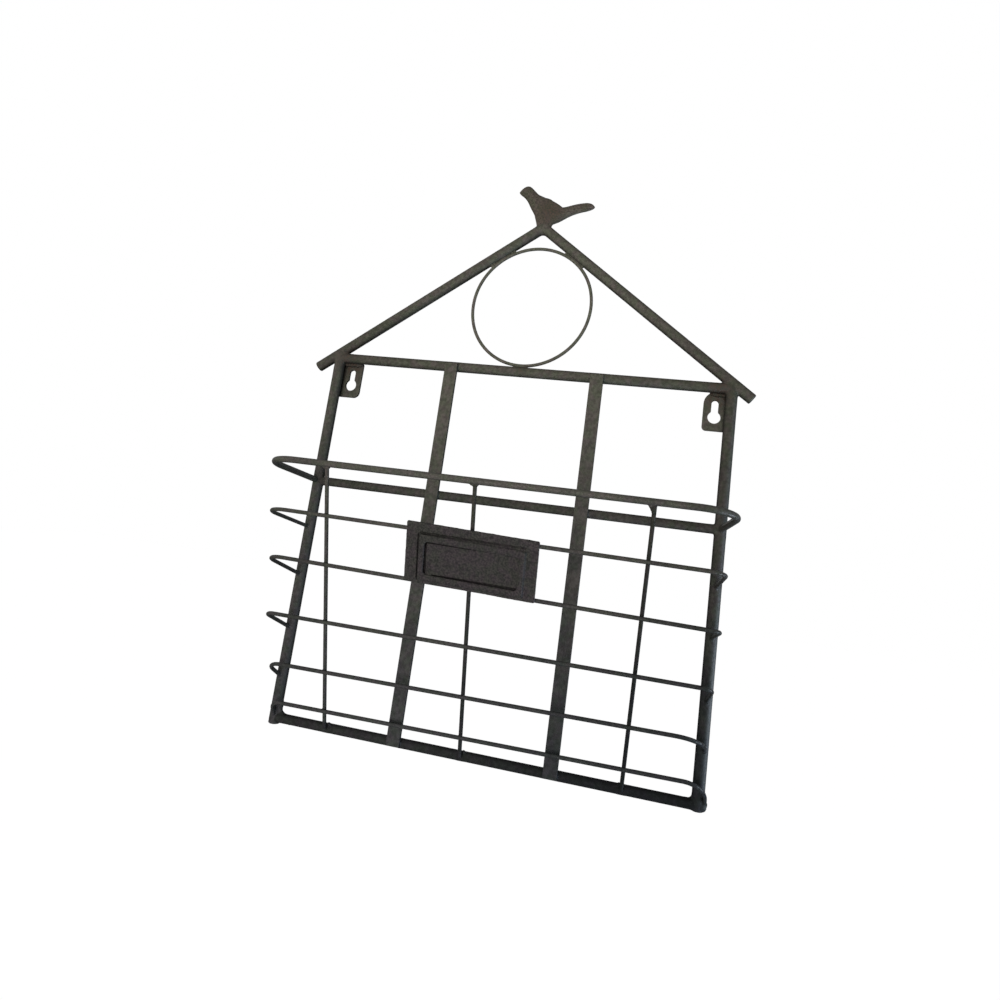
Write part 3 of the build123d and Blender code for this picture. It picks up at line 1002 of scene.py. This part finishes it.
class RACK_OT_hoop_welds(bpy.types.Operator):
    """Welds the ends of the rim and the thin hoops to the uprights"""

    bl_idname = "rack.hoop_welds"
    bl_label = "Weld Hoop Ends"

    def execute(self, context):
        ends = [end for hoop in HOOPS for end in hoop_ends(hoop)]
        spots = [(end, END_REACH) for end in ends]
        drops = [(end, THIN_RADIUS * 1.1, (1.0, 1.0, 1.6)) for end in ends]
        nodes = HOOPS + ("left_wire", "left_upright", "right_upright", "mid_rail")
        obj = wire_weld("hoop_welds", spots, nodes, drops)
        coat_like(obj, nodes)
        finished(obj)
        return {"FINISHED"}


class RACK_OT_wire_welds(bpy.types.Operator):
    """Welds the straight wires to the rim and the thin hoops"""

    bl_idname = "rack.wire_welds"
    bl_label = "Weld Straight Wires"

    def execute(self, context):
        sizes = context.scene.rack_welds
        spots = []
        drops = []
        under_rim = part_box("rim_hoop")[1].z - 2 * RIM_RADIUS
        for wire in STRAIGHT_WIRES:
            top = wire_ends(wire)[1]
            spots.append((top, TOP_REACH))
            for shift, down, size in TOP_DROPS[wire]:
                drops.append((Vector((top.x + shift, top.y, under_rim - down)), THIN_RADIUS * size))
            for hoop in THIN_HOOPS:
                place = crossing(wire, hoop)
                spots.append((place, CROSSING_REACH))
                drops.append((place, sizes.nugget))
        nodes = HOOPS + STRAIGHT_WIRES + ("left_upright", "right_upright", "mid_rail")
        obj = wire_weld("wire_welds", spots, nodes, drops)
        coat_like(obj, nodes)
        finished(obj)
        return {"FINISHED"}


class RACK_OT_sill_welds(bpy.types.Operator):
    """Welds the feet of the straight wires to the bottom rail"""

    bl_idname = "rack.sill_welds"
    bl_label = "Weld Wire Feet"

    def execute(self, context):
        sizes = context.scene.rack_welds
        rail = middle("bottom_rail")
        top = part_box("bottom_rail")[1].z
        spots = []
        drops = []
        for wire, sign in FOOT_SIDES.items():
            foot = wire_ends(wire)[0]
            beside = Vector((foot.x + sign * 0.0019, (foot.y + rail.y) / 2, top - 0.0002))
            spots.append((foot, END_REACH))
            drops += [(foot + Vector((0, 0, 0.0008)), 0.0011), (beside, 0.0014)]
        nodes = STRAIGHT_WIRES + ("bottom_rail",)
        obj = weld("sill_welds", spots, nodes, drops, sizes.wire_voxel, sizes.wire_smoothing, sizes.rod_swell)
        coat(obj, rod_iron("bottom_rail"))
        finished(obj)
        return {"FINISHED"}


class RACK_OT_stage(bpy.types.Operator):
    """Sets the floor, the soft lights and the camera"""

    bl_idname = "rack.stage"
    bl_label = "Set Stage"

    def execute(self, context):
        make_floor()
        make_sky()
        make_lights()
        make_camera()
        return {"FINISHED"}


def seen_by_camera(tree):
    """One for rays from the camera, and nothing for all others."""
    return (add(tree, "ShaderNodeLightPath"), "Is Camera Ray")


def make_floor():
    """A pale floor that keeps a soft shadow."""
    stage = bpy.context.scene.rack_stage
    deselect()
    bpy.ops.mesh.primitive_plane_add(size=FLOOR_WIDTH, location=(0, 0, CAD_BOX[0].z - stage.floor_drop))
    floor = bpy.context.object
    floor.name = "floor"
    bpy.ops.object.transform_apply(location=True, rotation=True, scale=True)
    material = bpy.data.materials.new("pale_floor")
    material.use_nodes = True
    tree = material.node_tree
    shader = tree.nodes["Principled BSDF"]
    shader.inputs["Base Color"].default_value = (FLOOR_GREY, FLOOR_GREY, FLOOR_GREY, 1.0)
    shader.inputs["Roughness"].default_value = 0.9
    shader.inputs["Specular IOR Level"].default_value = 0.0
    glow = add(tree, "ShaderNodeEmission")
    glow.inputs["Strength"].default_value = FLOOR_GLOW
    share = combined(tree, "MULTIPLY", seen_by_camera(tree), FLOOR_GLOW_SHARE)
    mix = add(tree, "ShaderNodeMixShader")
    link(tree, (share, "Value"), (mix, "Fac"))
    link(tree, (shader, "BSDF"), (mix, 1))
    link(tree, (glow, "Emission"), (mix, 2))
    link(tree, (mix, "Shader"), (tree.nodes["Material Output"], "Surface"))
    floor.data.materials.append(material)


def make_sky():
    """Even light all round, plain white to the camera."""
    stage = bpy.context.scene.rack_stage
    world = bpy.data.worlds.new("studio_sky")
    bpy.context.scene.world = world
    world.use_nodes = True
    tree = world.node_tree
    sky = tree.nodes["Background"]
    sky.inputs["Color"].default_value = (1.0, 1.0, 1.0, 1.0)
    strength = ramped(tree, seen_by_camera(tree), 0.0, 1.0, stage.sky, 1.0)
    link(tree, (strength, "Result"), (sky, "Strength"))


def make_light(name, place, size, watts, tint, mirrored=False):
    """A broad lamp that looks at the rack's middle, or one that only shows in its shine."""
    deselect()
    bpy.ops.object.light_add(type="AREA", location=place)
    lamp = bpy.context.object
    lamp.name = name
    target = (CAD_BOX[0] + CAD_BOX[1]) / 2
    lamp.rotation_euler = (target - Vector(place)).to_track_quat("-Z", "Y").to_euler()
    lamp.data.shape = "RECTANGLE"
    lamp.data.size, lamp.data.size_y = size
    lamp.data.energy = watts
    lamp.data.color = tint
    lamp.visible_camera = False
    lamp.visible_glossy = mirrored
    lamp.visible_diffuse = not mirrored


def make_lights():
    """A broad light in front, a cool window at the lower right with its glint, a weak light on the left."""
    stage = bpy.context.scene.rack_stage
    window = (0.42, 0.00, -0.24)
    make_light("front_light", (-0.10, -1.5, -0.30), (0.9, 0.9), stage.front_power, (1.0, 0.995, 0.98))
    make_light("window_light", window, (0.25, 0.45), stage.window_power, (0.60, 0.79, 1.0))
    make_light("window_glint", window, (0.25, 0.08), stage.glint_power, (0.80, 0.90, 1.0), mirrored=True)
    make_light("side_light", (-0.95, -0.40, 0.10), (0.6, 0.8), stage.side_power, (1.0, 0.99, 0.97))


def make_camera():
    """The photograph's viewpoint."""
    deselect()
    bpy.ops.object.camera_add(location=CAMERA_PLACE)
    camera = bpy.context.object
    turn = (
        Matrix.Rotation(math.radians(CAMERA_HEADING), 4, "Z")
        @ Matrix.Rotation(math.pi / 2 + math.radians(CAMERA_PITCH), 4, "X")
        @ Matrix.Rotation(math.radians(CAMERA_ROLL), 4, "Z")
    )
    camera.rotation_euler = turn.to_euler()
    camera.data.sensor_width = CAMERA_SENSOR
    camera.data.lens = CAMERA_LENS
    camera.data.shift_x, camera.data.shift_y = CAMERA_SHIFT
    camera.data.clip_start = 0.01
    bpy.context.scene.camera = camera
    bpy.context.scene.view_settings.view_transform = "Standard"


OPERATORS = (
    RACK_OT_rods, RACK_OT_wires, RACK_OT_frame_welds, RACK_OT_ring_welds, RACK_OT_hanger_welds,
    RACK_OT_hoop_welds, RACK_OT_wire_welds, RACK_OT_sill_welds, RACK_OT_bird, RACK_OT_label, RACK_OT_stage,
)


class RACK_PT_panel(bpy.types.Panel):
    """Lists the rack's sizes, colours and steps"""

    bl_label = "Letter Rack"
    bl_idname = "RACK_PT_panel"
    bl_space_type = "VIEW_3D"
    bl_region_type = "UI"
    bl_category = "Letter Rack"

    def draw(self, context):
        for operator in OPERATORS:
            self.layout.operator(operator.bl_idname)
        for name, group in GROUPS.items():
            box = self.layout.box()
            for key in group.__annotations__:
                box.prop(getattr(context.scene, name), key)


def register():
    """Makes the sizes, the steps and the panel known to Blender."""
    for name, group in GROUPS.items():
        bpy.utils.register_class(group)
        setattr(bpy.types.Scene, name, PointerProperty(type=group))
    for operator in OPERATORS:
        bpy.utils.register_class(operator)
    bpy.utils.register_class(RACK_PT_panel)


def unregister():
    """Takes the panel, the steps and the sizes away again."""
    bpy.utils.unregister_class(RACK_PT_panel)
    for operator in reversed(OPERATORS):
        bpy.utils.unregister_class(operator)
    for name, group in GROUPS.items():
        delattr(bpy.types.Scene, name)
        bpy.utils.unregister_class(group)


def main():
    """Runs every step in order."""
    register()
    bpy.ops.rack.rods()
    bpy.ops.rack.wires()
    bpy.ops.rack.frame_welds()
    bpy.ops.rack.ring_welds()
    bpy.ops.rack.hanger_welds()
    bpy.ops.rack.hoop_welds()
    bpy.ops.rack.wire_welds()
    bpy.ops.rack.sill_welds()
    bpy.ops.rack.bird()
    bpy.ops.rack.label()
    bpy.ops.rack.stage()


if __name__ == "__main__":
    main()
